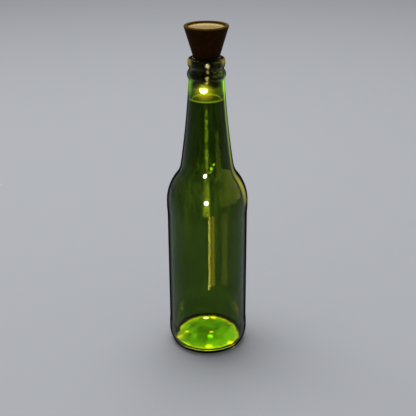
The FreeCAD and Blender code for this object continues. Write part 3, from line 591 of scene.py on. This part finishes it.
def bottle_glass():
    """Green container glass, pressed and blown: clear gloss, painted dark where it is thick, and painted with
    glow for the lamp's light.
    """
    made, tree, shader = new_material("green_container_glass")
    place = add(tree, "ShaderNodeTexCoord").outputs["Object"]
    height = add(tree, "ShaderNodeSeparateXYZ", {0: place}).outputs["Z"]
    level = add(tree, "ShaderNodeVectorMath", {0: place, 1: (1.0, 1.0, 0.0)}, operation="MULTIPLY")
    radius = add(tree, "ShaderNodeVectorMath", {0: level}, operation="LENGTH").outputs["Value"]
    inside = add(tree, "ShaderNodeAttribute", attribute_name="inner_wall").outputs["Fac"]
    outside = add(tree, "ShaderNodeMath", {0: 1.0, 1: inside}, operation="SUBTRACT")
    edge = add(tree, "ShaderNodeLayerWeight", {"Blend": 0.5}).outputs["Facing"]
    # Orange peel left by the mould, far below a tenth of a millimetre deep
    peel = add(tree, "ShaderNodeTexNoise", {"Vector": place, "Scale": 1 / (PEEL_SIZE * MM), "Detail": 1.0})
    bump = add(tree, "ShaderNodeBump", {"Height": peel, "Strength": 0.15, "Distance": PEEL_DEPTH * MM})
    inner = add(tree, "ShaderNodeVectorMath", {
        0: neck_glow(tree, height), 1: wall_glow(tree, place, height),
    }, operation="ADD")
    inner = add(tree, "ShaderNodeVectorMath", {0: inner, "Scale": inside}, operation="SCALE")
    outer = outer_glow(tree, place, height, edge)
    outer = add(tree, "ShaderNodeVectorMath", {0: outer, "Scale": outside}, operation="SCALE")
    glow = add(tree, "ShaderNodeVectorMath", {0: inner, 1: outer}, operation="ADD")
    clear = clear_share(tree, height, radius, inside, edge)
    # Painted shade: where the glass is not clear it is an opaque dark green
    tone = add(tree, "ShaderNodeValToRGB", {0: clear}, [(0.0, "#0A1804"), (0.7, "#0E2404"), (1.0, "#FFFFFF")])
    fill(tree, shader, {
        "Base Color": tone, "Transmission Weight": clear, "IOR": 1.52, "Roughness": 0.015,
        "Specular Tint": linear("#959961"), "Specular IOR Level": 0.0, "Normal": bump,
        "Emission Color": add_sparks(tree, place, glow), "Emission Strength": GLASS_GLOW,
    })
    # Iron and chromium oxides take the red and blue out: the two walls together leave a dark olive green
    tint = add(tree, "ShaderNodeVolumeAbsorption", {"Color": linear("#A3C044"), "Density": GLASS_DENSITY})
    body = add(tree, "ShaderNodeAddShader", {0: tint, 1: base_glow(tree, place, height, radius)})
    tree.links.new(body.outputs[0], tree.nodes["Material Output"].inputs["Volume"])
    return made


def wall_radius(outside, height):
    """The outside radius at a height."""
    for (r0, z0), (r1, z1) in zip(outside, outside[1:]):
        if z0 <= height <= z1 and z1 > z0:
            return r0 + (r1 - r0) * (height - z0) / (z1 - z0)
    return BEARING_OUTER


def make_bottle():
    """The bottle, with its two mould seams, knurled bearing ring and the uneven inner wall of blown glass."""
    outline = outer_side()
    outline += inner_side(outline[-1])
    outside = outline[:outline.index(max(outline, key=lambda p: p[1])) + 1]
    glass = lathe("bottle_glass", outline, BOTTLE_STEPS)
    places = [vertex.co / MM for vertex in glass.data.vertices]
    depths = [wall_radius(outside, p.z) - p.xy.length for p in places]
    inner = [p.z > PUSH_UP + INNER_ABOVE and depth > INNER_SKIN for p, depth in zip(places, depths)]
    side = glass.data.attributes.new("inner_wall", "FLOAT", "POINT")
    side.data.foreach_set("value", [float(i) for i in inner])
    group = glass.vertex_groups.new(name="blown_side")
    for i, p in enumerate(places):
        if inner[i]:
            share = min(1.0, (p.z - WAVE_LOW) / WAVE_GROWTH, (WAVE_HIGH - p.z) / WAVE_FADE)
            group.add([i], max(0.0, share), "REPLACE")
    waves = bpy.data.textures.new("uneven_wall", "CLOUDS")
    waves.noise_scale = WAVE_LENGTH * MM
    wavy = glass.modifiers.new("uneven_wall", "DISPLACE")
    wavy.texture, wavy.vertex_group, wavy.strength = waves, "blown_side", WAVE_DEPTH * MM
    pick_only(glass)
    bpy.ops.object.modifier_apply(modifier=wavy.name)

    step = math.tau / BOTTLE_STEPS
    for azimuth in (SEAM_AZIMUTH, SEAM_AZIMUTH + 180):
        out = Vector((math.cos(math.radians(azimuth)), math.sin(math.radians(azimuth)), 0))

        def on_seam(p):
            return (SEAM_LOW < p.z < SEAM_HIGH and p.xy.length > wall_radius(outside, p.z) - OUTER_SKIN
                    and p.xy.normalized().dot(out.xy) > math.cos(step / 3))

        nudge(glass, on_seam, out * SEAM_PROUD)

    def on_knurl(p):
        return p.z < RING_FLATNESS and round(math.atan2(p.y, p.x) / step) % 2 == 0

    nudge(glass, on_knurl, (0, 0, KNURL_DEPTH))
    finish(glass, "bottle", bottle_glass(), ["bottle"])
    return glass


# The stopper, in millimetres

FOOT_RADIUS = 9.25
FLOOR_WALL = 2.0
SHELL_WALL = 2.0
SHELL_BORE = 6.85
RIM_ROUND = 0.7
RIM_CHAMFER = 0.3
PANEL_GAP = 0.1
STACK_HEIGHT = 3.4
FOOT_EASE = 0.45
SHELL_STEP = 0.4
SHELL_SIDE_STEP = 1.0
SHELL_STEPS = 128
CORK_GRAIN = 0.25
CORK_GRAIN_DEPTH = 0.03
MOTTLE_SIZE = 3.0
# Where the painted rim highlight starts and where it is full, in millimetres below the rim's top
RIM_BAND = (1.4, 0.2)


def shell_plastic():
    """Injection-moulded ABS in a dark cork brown with a fine eroded grain, so its highlights spread wide;
    the rim is painted lighter tan, a painted highlight where light from above falls on the top."""
    made, tree, shader = new_material("moulded_cork_brown_abs")
    place = add(tree, "ShaderNodeTexCoord").outputs["Object"]
    height = add(tree, "ShaderNodeSeparateXYZ", {0: place}).outputs["Z"]
    mottle = add(tree, "ShaderNodeTexNoise", {
        "Vector": place, "Scale": 1 / (MOTTLE_SIZE * MM), "Detail": 4.0,
    })
    brown = add(tree, "ShaderNodeValToRGB", {0: mottle}, [(0.3, "#241304"), (0.7, "#301A06")])
    # Painted highlight: lighter tan towards the top of the rim, where light from above falls
    painted_rim_highlight = add(tree, "ShaderNodeMapRange", {
        "Value": height, "From Min": (RIM_TOP - RIM_BAND[0]) * MM, "From Max": (RIM_TOP - RIM_BAND[1]) * MM,
    }, interpolation_type="SMOOTHSTEP")
    tone = add(tree, "ShaderNodeMix", {"Factor": painted_rim_highlight, "A": brown, "B": linear("#5A440E")}, data_type="RGBA")
    # The grain is a tenth of a millimetre across and drawn coarser, so that it shows
    grain = add(tree, "ShaderNodeTexNoise", {"Vector": place, "Scale": 1 / (CORK_GRAIN * MM), "Detail": 2.0})
    bump = add(tree, "ShaderNodeBump", {
        "Height": grain, "Strength": 0.25, "Distance": CORK_GRAIN_DEPTH * MM,
    })
    fill(tree, shader, {
        "Base Color": tone.outputs["Result"], "Normal": bump, "Roughness": 0.45, "IOR": 1.5,
        "Specular IOR Level": 0.01,
    })
    return made


def make_shell():
    """The tapered casing with its rounded rim and the seat for the panel."""
    rim_side = (RIM_RADIUS, RIM_TOP - RIM_ROUND)
    seat = WINDOW_RADIUS + PANEL_GAP
    stack_seat = WINDOW_TOP - STACK_HEIGHT
    slope = (RIM_RADIUS - FOOT_RADIUS) / (RIM_TOP - RIM_ROUND - BOTTLE_HEIGHT)
    floor_top = BOTTLE_HEIGHT + FLOOR_WALL
    cavity = FOOT_RADIUS + slope * (stack_seat - BOTTLE_HEIGHT) - SHELL_WALL
    floor_radius = FOOT_RADIUS + slope * FLOOR_WALL - SHELL_WALL
    outline = [(SHELL_BORE, BOTTLE_HEIGHT)]
    outline += line(outline[-1], (FOOT_RADIUS, BOTTLE_HEIGHT), SHELL_STEP)
    outline += line(outline[-1], rim_side, SHELL_SIDE_STEP)
    outline += arc(outline[-1], (RIM_RADIUS - RIM_ROUND, RIM_TOP), RIM_ROUND, 1, 8)
    outline += line(outline[-1], (seat + RIM_CHAMFER, RIM_TOP), SHELL_STEP)
    outline += arc(outline[-1], (seat, RIM_TOP - RIM_CHAMFER), RIM_CHAMFER, 1, 4)
    outline += line(outline[-1], (seat, stack_seat), EDGE_STEP)
    outline += [(cavity, stack_seat), (floor_radius, floor_top), (SHELL_BORE, floor_top)]
    outline += [outline[0]]
    outline = soften(outline, (FOOT_RADIUS, BOTTLE_HEIGHT), FOOT_EASE)
    shell = lathe("stopper_casing", outline, SHELL_STEPS)
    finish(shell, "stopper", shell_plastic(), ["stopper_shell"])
    return shell


WINDOW_CROWN = 0.9
WINDOW_BORDER = 0.7
WINDOW_BEVEL = 0.3
RESIN_CLOUD = 6.0


def window_resin():
    """Epoxy poured over the cells and polished: glossy and a little cloudy, with a painted tan that stands in
    for a reflection of warm light.
    """
    made, tree, shader = new_material("potting_epoxy_painted_tan_reflection")
    place = add(tree, "ShaderNodeTexCoord").outputs["Object"]
    cloud = add(tree, "ShaderNodeTexNoise", {"Vector": place, "Scale": 1 / (RESIN_CLOUD * MM), "Detail": 2.0})
    # Painted reflection: the tan colour stands in for warm light mirrored in the glossy cover
    tan = add(tree, "ShaderNodeValToRGB", {0: cloud}, [(0.3, "#B49244"), (0.7, "#C6A450")])
    fill(tree, shader, {"Base Color": tan, "Roughness": 0.18, "IOR": 1.54, "Transmission Weight": 0.25})
    return made


def make_window():
    """The clear cover of the solar panel, bevelled at its edge and slightly crowned."""
    border = WINDOW_RADIUS - WINDOW_BORDER
    crown_bend = WINDOW_RADIUS**2 / (2 * WINDOW_CROWN)
    outline = [(0, CELL_TOP), (border, CELL_TOP), (border, WINDOW_BASE), (WINDOW_RADIUS, WINDOW_BASE)]
    outline += line(outline[-1], (WINDOW_RADIUS, WINDOW_TOP - WINDOW_BEVEL), EDGE_STEP)
    outline += arc(outline[-1], (WINDOW_RADIUS - WINDOW_BEVEL, WINDOW_TOP), WINDOW_BEVEL, 1, 4)
    outline += arc(outline[-1], (0, WINDOW_TOP + WINDOW_CROWN), crown_bend, 1, 16)
    window = lathe("panel_window", outline, SHELL_STEPS)
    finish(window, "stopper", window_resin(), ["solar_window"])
    return window


SLEEVE_RADIUS = 7.45
COLLAR_HEIGHT = 2.0
RIB_HEIGHT = 2.0
RIB_TIP = 0.9
RIB_PITCH = 4.35
RIB_COUNT = 4
RIB_EASE = 0.4
RIB_STEP = 0.2
SLEEVE_STEPS = 96
BLOOM_SIZE = 2.0


def sleeve_silicone():
    """Moulded silicone rubber, dark brown, satin with a faint bloom."""
    made, tree, shader = new_material("brown_silicone_rubber")
    place = add(tree, "ShaderNodeTexCoord").outputs["Object"]
    bloom = add(tree, "ShaderNodeTexNoise", {"Vector": place, "Scale": 1 / (BLOOM_SIZE * MM), "Detail": 3.0})
    brown = add(tree, "ShaderNodeValToRGB", {0: bloom}, [(0.35, "#1A1108"), (0.75, "#2C2013")])
    fill(tree, shader, {"Base Color": brown, "Roughness": 0.38, "IOR": 1.41})
    return made


def make_sleeve():
    """The ribbed seal on the plug, every rib rounded at its lip and root."""
    corners = []
    for i in range(RIB_COUNT):
        middle = SHAFT_END + RIB_HEIGHT + i * RIB_PITCH
        corners += [
            (SLEEVE_RADIUS, middle - RIB_HEIGHT / 2),
            (RIB_RADIUS, middle - RIB_TIP / 2),
            (RIB_RADIUS, middle + RIB_TIP / 2),
            (SLEEVE_RADIUS, middle + RIB_HEIGHT / 2),
        ]
    corners += [
        (SLEEVE_RADIUS, SLEEVE_TOP - COLLAR_HEIGHT - RIB_RADIUS + SLEEVE_RADIUS),
        (RIB_RADIUS, SLEEVE_TOP - COLLAR_HEIGHT),
        (RIB_RADIUS, SLEEVE_TOP),
    ]
    outline = [(SHELL_BORE, SHAFT_END), (SLEEVE_RADIUS, SHAFT_END)]
    for corner in corners:
        outline += line(outline[-1], corner, RIB_STEP)
    outline += line(outline[-1], (SHELL_BORE, SLEEVE_TOP), SHELL_STEP)
    outline += [outline[0]]
    for corner in corners:
        outline = soften(outline, corner, RIB_EASE, 4)
    sleeve = lathe("ribbed_sleeve", outline, SLEEVE_STEPS)
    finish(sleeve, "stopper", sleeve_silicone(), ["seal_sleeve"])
    return sleeve


LAMP_RADIUS = 2.5
LAMP_RIM = 2.9
LAMP_STEP = 1.0
LAMP_STEPS = 64
LAMP_GLOW = 150.0
LAMP_GLOW_SPAN = (0.5, -1.5)


def lamp_glow():
    """Water-clear epoxy of a lit warm white lamp, dazzling at its nose."""
    made, tree, shader = new_material("lit_clear_epoxy_lamp")
    place = add(tree, "ShaderNodeTexCoord").outputs["Object"]
    height = add(tree, "ShaderNodeSeparateXYZ", {0: place}).outputs["Z"]
    base, full = [(CAP_TOP + up) * MM for up in LAMP_GLOW_SPAN]
    nose = add(tree, "ShaderNodeMapRange", {
        "Value": height, "From Min": base, "From Max": full, "To Max": LAMP_GLOW,
    })
    fill(tree, shader, {
        "Base Color": linear("#FFFFFF"), "Transmission Weight": 0.9, "IOR": 1.54, "Roughness": 0.05,
        "Emission Color": linear("#FFEFA8"), "Emission Strength": nose,
    })
    return made


def make_lamp():
    """The round-nosed lamp, which points down from the end cap."""
    outline = [(0, LAMP_TIP)]
    outline += arc(outline[-1], (LAMP_RADIUS, LAMP_TIP + LAMP_RADIUS), LAMP_RADIUS, 1, 12)
    outline += line(outline[-1], (LAMP_RADIUS, CAP_TOP), LAMP_STEP)
    outline += [(LAMP_RIM, CAP_TOP), (LAMP_RIM, LAMP_BACK), (0, LAMP_BACK)]
    lamp = lathe("lamp_dome", outline, LAMP_STEPS, LAMP_PLACE)
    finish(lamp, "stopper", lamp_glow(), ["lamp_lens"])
    return lamp


def plain_finish(name, low, high, roughness, ior=1.5, metallic=0.0, patch=1.0):
    """A two-tone surface whose patches are that many millimetres across."""
    made, tree, shader = new_material(name)
    place = add(tree, "ShaderNodeTexCoord").outputs["Object"]
    cloud = add(tree, "ShaderNodeTexNoise", {"Vector": place, "Scale": 1 / (patch * MM), "Detail": 3.0})
    tone = add(tree, "ShaderNodeValToRGB", {0: cloud}, [(0.35, low), (0.65, high)])
    fill(tree, shader, {"Base Color": tone, "Roughness": roughness, "IOR": ior, "Metallic": metallic})
    return made


def dress_inner_nodes():
    """Materials for the pieces that keep their solids."""
    # Plated over rolled steel: a soft grey mirror
    nickel = plain_finish("nickel_plated_steel", "#A9A699", "#C9C7BC", 0.28, metallic=1.0, patch=0.6)
    # Unpigmented and polished in the mould: creamy and satin
    abs_white = plain_finish("natural_white_abs", "#CFC8B4", "#DED8C6", 0.4, patch=2.0)
    looks = {
        # A film laid down in vacuum: dark bronze gloss
        "solar_cells": plain_finish(
            "bronze_thin_film_silicon", "#3A2410", "#54381C", 0.2, ior=3.4, patch=0.5,
        ),
        # Woven glass in resin, unmasked: straw yellow, half matt
        "solar_backing": plain_finish("glass_epoxy_board", "#8C7A45", "#A08C55", 0.5, patch=0.4),
        # Open cells swallow the light: black and matt
        "panel_gasket": plain_finish("black_foam_rubber", "#0C0C0C", "#1A1A1A", 0.9, patch=0.3),
        # Screened lacquer: deep green gloss
        "circuit_board": plain_finish("green_solder_mask", "#0B4A22", "#0F5A2B", 0.3, patch=0.8),
        "board_screws": nickel,
        # Moulded against an eroded tool: black and dull
        "controller_chip": plain_finish("black_moulded_epoxy", "#101010", "#1C1C1C", 0.6, patch=0.3),
        # Dipped and baked: pale green with a soft gloss
        "inductor": plain_finish("pale_green_enamel", "#6E8A5C", "#7E9A6C", 0.35, patch=1.0),
        # Deep drawn and degreased: a pale mirror
        "capacitor": plain_finish(
            "drawn_aluminium_can", "#B5B8BC", "#C9CCD0", 0.3, metallic=1.0, patch=1.0,
        ),
        "plug_shaft": abs_white,
        "end_cap": abs_white,
        "lamp_leads": nickel,
        # Powder set in resin: flat warm yellow
        "lamp_phosphor": plain_finish("yellow_phosphor", "#D8B818", "#E8CC30", 0.8, patch=0.2),
        "switch_housing": nickel,
        "switch_terminals": nickel,
        # Moulded: black and half matt
        "switch_slider": plain_finish("black_nylon", "#121212", "#1E1E1E", 0.5, patch=0.4),
        # Shrunk tight over the can: smooth green gloss
        "battery_cell": plain_finish("green_pvc_shrink_sleeve", "#1C5A34", "#256B40", 0.3, patch=2.0),
        "battery_tabs": nickel,
        # Extruded over the strands: satin red and black
        "lamp_wires": plain_finish("red_pvc_insulation", "#8A0E0A", "#9A1610", 0.4, patch=0.5),
        "switch_wire": plain_finish("black_pvc_insulation", "#0E0E0E", "#181818", 0.4, patch=0.5),
        "battery_wire": plain_finish("red_pvc_insulation_thin", "#8A0E0A", "#9A1610", 0.4, patch=0.5),
        "panel_wires": plain_finish("black_pvc_insulation_thin", "#0E0E0E", "#181818", 0.4, patch=0.5),
    }
    for node, look in looks.items():
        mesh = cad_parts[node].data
        mesh.materials.clear()
        mesh.materials.append(look)


# The studio. Places and sizes of lights are in metres, and those of the streaks in millimetres

CAMERA_ASIDE = 0.55
CAMERA_AWAY = 587.0
CAMERA_UP = 368.0
CAMERA_PITCH = 23.5
CAMERA_ROLL = -0.3
FRAME_PIXELS = 416
FOCAL_PIXELS = 843.1
SENSOR_WIDTH = 36.0
FLOOR_SIZE = 40.0
STREAK_LIGHT_UP = 2.0
STREAK_CURVE = 0.7
MIDDLE = (0, 0, 0.12)
# Streaks on the body: name, distance off its middle, low and high end, width, radiance and colour
STREAKS = [
    ("streak_cream", 1.5, 57.0, 123.0, 1.5, 19.0, "#FFE880"),
    ("streak_mustard", 4.4, 60.0, 123.0, 2.6, 5.0, "#FFE420"),
    ("streak_faint", 13.0, 60.0, 123.0, 5.0, 1.2, "#FFE050"),
]
# Other highlights on the glass: name, place, aim, size, radiance and colour
GLINTS = [
    ("window_glint", (-0.06, -0.9, 0.278), MIDDLE, (0.14, 0.10), 200.0, "#FFFFF0"),
    ("side_haze", (1.1, -0.3, 0.5), MIDDLE, (1.8, 1.1), 1.6, "#F4FF80"),
    ("neck_sheen", (0.0, -1.9, 0.01), (0, 0, 0.9), (0.34, 1.0), 5.0, "#E8FF60"),
]


def soft_light(name, place, aim, size, radiance, colour="#FFFFFF"):
    """A soft box that faces a point, with its width and height in metres and the radiance of its face."""
    light = bpy.data.lights.new(name, "AREA")
    light.shape = "RECTANGLE"
    light.size, light.size_y = size
    # Blender spreads an area light's energy over four times its face
    light.energy = radiance * 4 * light.size * light.size_y
    light.color = linear(colour)[:3]
    box = bpy.data.objects.new(name, light)
    bpy.context.scene.collection.objects.link(box)
    box.location = place
    box.rotation_euler = (Vector(aim) - Vector(place)).to_track_quat("-Z", "Y").to_euler()
    return box


def light_only(name, pieces, lights):
    """Keeps lights off all but some pieces."""
    target = bpy.data.collections.new(name)
    for piece in pieces:
        target.objects.link(piece)
    for light in lights:
        light.light_linking.receiver_collection = target


def glint_on(piece, lights):
    """Lights that show only as highlights on one piece."""
    light_only("glints_on_" + piece.name, [piece], lights)
    for light in lights:
        light.visible_camera = False
        light.visible_diffuse = False
        light.visible_transmission = False
        light.visible_volume_scatter = False


def streak(name, across, low, high, width, radiance, colour, parts=4):
    """Slim lights on the floor in front that the body mirrors as an upright streak off its middle."""
    turn = math.asin(across / BODY_RADIUS)
    swing = width / BODY_RADIUS
    reaches = []
    for i in range(parts + 1):
        # Strips farther out stand for less of its height, because their reach grows faster
        up = low + (high - low) * (i / parts) ** STREAK_CURVE
        reaches.append(up * (CAMERA_AWAY - BODY_RADIUS) / (CAMERA_UP - up))
    wall = Vector((across, -BODY_RADIUS * math.cos(turn)))
    away = Vector((math.sin(2 * turn), -math.cos(2 * turn)))
    strips = []
    for i, (near, far) in enumerate(zip(reaches, reaches[1:])):
        middle = wall + away * (near + far) / 2
        spot = Vector((middle.x, middle.y, STREAK_LIGHT_UP)) * MM
        size = (swing * (near + far + BODY_RADIUS) * MM, (far - near) * MM)
        strip = soft_light("%s_%d" % (name, i), spot, spot + Vector((0, 0, 1)), size, radiance, colour)
        strip.rotation_euler = (math.pi, 0, math.atan2(away.x, -away.y))
        strips.append(strip)
    return strips


def make_floor():
    """A plain pale floor."""
    bpy.ops.object.select_all(action="DESELECT")
    bpy.ops.mesh.primitive_plane_add(size=FLOOR_SIZE, location=(0, 0, 0))
    floor = bpy.context.object
    floor.name = "floor"
    # Matt paint: even and without a reflection
    made, tree, shader = new_material("painted_studio_floor")
    fill(tree, shader, {"Base Color": linear("#C6C8CC"), "Roughness": 0.9, "Specular IOR Level": 0.1})
    floor.data.materials.append(made)


def make_studio(glass, stopper):
    """Floor, soft boxes and a level sky."""
    make_floor()
    soft_light("overhead", (-0.2, 0.5, 1.8), MIDDLE, (1.6, 1.2), 2.6)
    # Warm light through the bottle from behind, kept off the floor
    warm = soft_light("back_warm", (0.0, 2.6, 0.42), MIDDLE, (2.6, 0.7), 0.8, "#FFDA6D")
    light_only("warm_backed", [glass, *stopper], [warm])
    strips = [strip for row in STREAKS for strip in streak(*row)]
    glint_on(glass, strips + [soft_light(*row) for row in GLINTS])
    world = bpy.data.worlds.new("studio_sky")
    bpy.context.scene.world = world
    world.use_nodes = True
    fill(world.node_tree, world.node_tree.nodes["Background"], {"Color": linear("#EEF0F4"), "Strength": 0.35})


def make_camera():
    """The photograph's view, from in front and looking down, with its focal length in pixels of its frame."""
    lens = bpy.data.cameras.new("camera")
    lens.sensor_width = SENSOR_WIDTH
    lens.lens = FOCAL_PIXELS / FRAME_PIXELS * SENSOR_WIDTH
    camera = bpy.data.objects.new("camera", lens)
    bpy.context.scene.collection.objects.link(camera)
    camera.location = (CAMERA_ASIDE * MM, -CAMERA_AWAY * MM, CAMERA_UP * MM)
    tilt = Matrix.Rotation(math.radians(90 - CAMERA_PITCH), 3, "X")
    roll = Matrix.Rotation(math.radians(CAMERA_ROLL), 3, "Z")
    camera.rotation_euler = (tilt @ roll).to_euler()
    bpy.context.scene.camera = camera


glass = make_bottle()
stopper = [make_shell(), make_window(), make_sleeve(), make_lamp()]
dress_inner_nodes()
make_studio(glass, stopper)
make_camera()
bpy.context.scene.view_settings.view_transform = "Standard"
